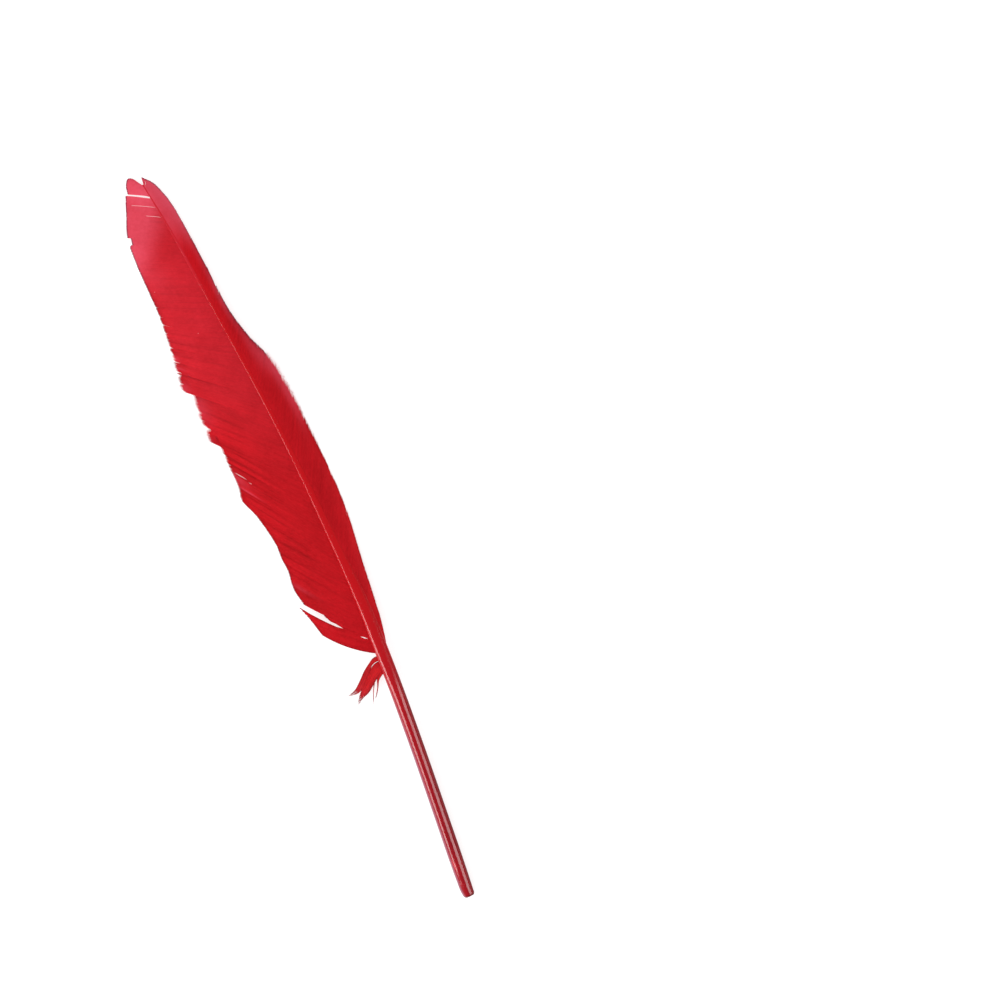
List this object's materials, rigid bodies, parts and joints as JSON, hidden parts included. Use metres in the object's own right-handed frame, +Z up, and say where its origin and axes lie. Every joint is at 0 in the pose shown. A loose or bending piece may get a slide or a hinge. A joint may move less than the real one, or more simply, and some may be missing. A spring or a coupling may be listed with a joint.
{
  "type": "goose quill feather",
  "caption": "Long quill feather with a bare round quill, a wide trailing vane with a worn and parted edge, a narrow leading vane and a small tuft of down, dyed red, lying flat.",
  "frame": {"origin": "middle of the feather's footprint, on the surface that it lies on", "axes": "+Y along the feather from the quill's end to the tip, +X towards the narrow leading vane, +Z up out of the feather's upper side"},
  "size_m": [0.039, 0.3026, 0.0082],
  "materials": {
    "dyed_vane": "satin",
    "dyed_quill": "gloss",
    "dyed_down": "matte"
  },
  "bodies": {
    "root": {"feather": "dyed_vane"}
  },
  "joints": []
}
